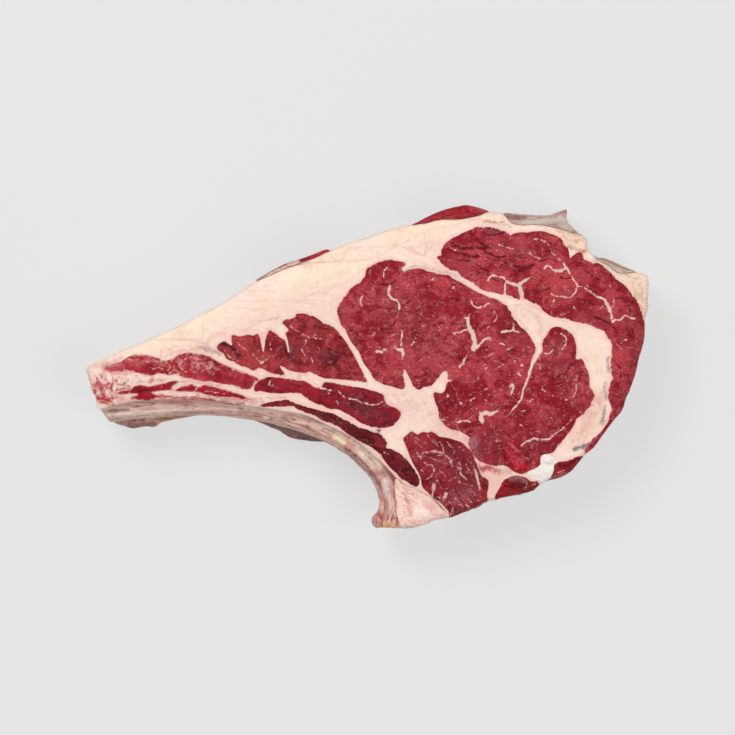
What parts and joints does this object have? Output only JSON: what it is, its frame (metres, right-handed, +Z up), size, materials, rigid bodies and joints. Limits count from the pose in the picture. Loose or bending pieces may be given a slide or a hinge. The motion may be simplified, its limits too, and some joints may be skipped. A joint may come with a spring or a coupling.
{
  "type": "bone-in ribeye steak",
  "caption": "Thick raw bone-in ribeye steak lying flat: marbled eye, cap and rib muscles in a network of fat, with the curved rib along the hollow side",
  "frame": {"origin": "bottom centre of the bounding box, on the cut face that the steak lies on", "axes": "+X from the narrow end of the rib to the broad end of the steak, +Y from the rib's hollow side to the outer fat, +Z up, out of the upper cut face"},
  "size_m": [0.2666, 0.153, 0.0415],
  "materials": {
    "muscle": "moist raw beef muscle, deep red with fine pale marbling",
    "dark_muscle": "moist raw beef muscle, darker and coarser in the grain",
    "fat": "creamy beef fat, softly waxy",
    "white_fat": "dry white fat with a crack across it",
    "bone": "rib under its pinkish skin, streaked along its length",
    "cartilage": "pale pink cartilage, moist",
    "membrane": "thin greyish brown skin, slightly translucent"
  },
  "bodies": {
    "root": {"fat": "fat", "eye_muscle": "muscle", "cap_muscle": "muscle", "flank_muscle": "muscle", "upper_rib_muscle": "muscle", "long_rib_muscle": "muscle", "inner_rib_muscle": "muscle", "tail_muscle": "muscle", "left_strip": "muscle", "top_strip": "muscle", "marbled_muscle": "dark_muscle", "intercostal_muscle": "dark_muscle", "lower_muscle": "dark_muscle", "rib_flap": "dark_muscle", "white_fat_lump": "white_fat", "rib_bone": "bone", "cartilage": "cartilage", "top_membrane": "membrane", "side_membrane": "membrane"}
  },
  "joints": []
}
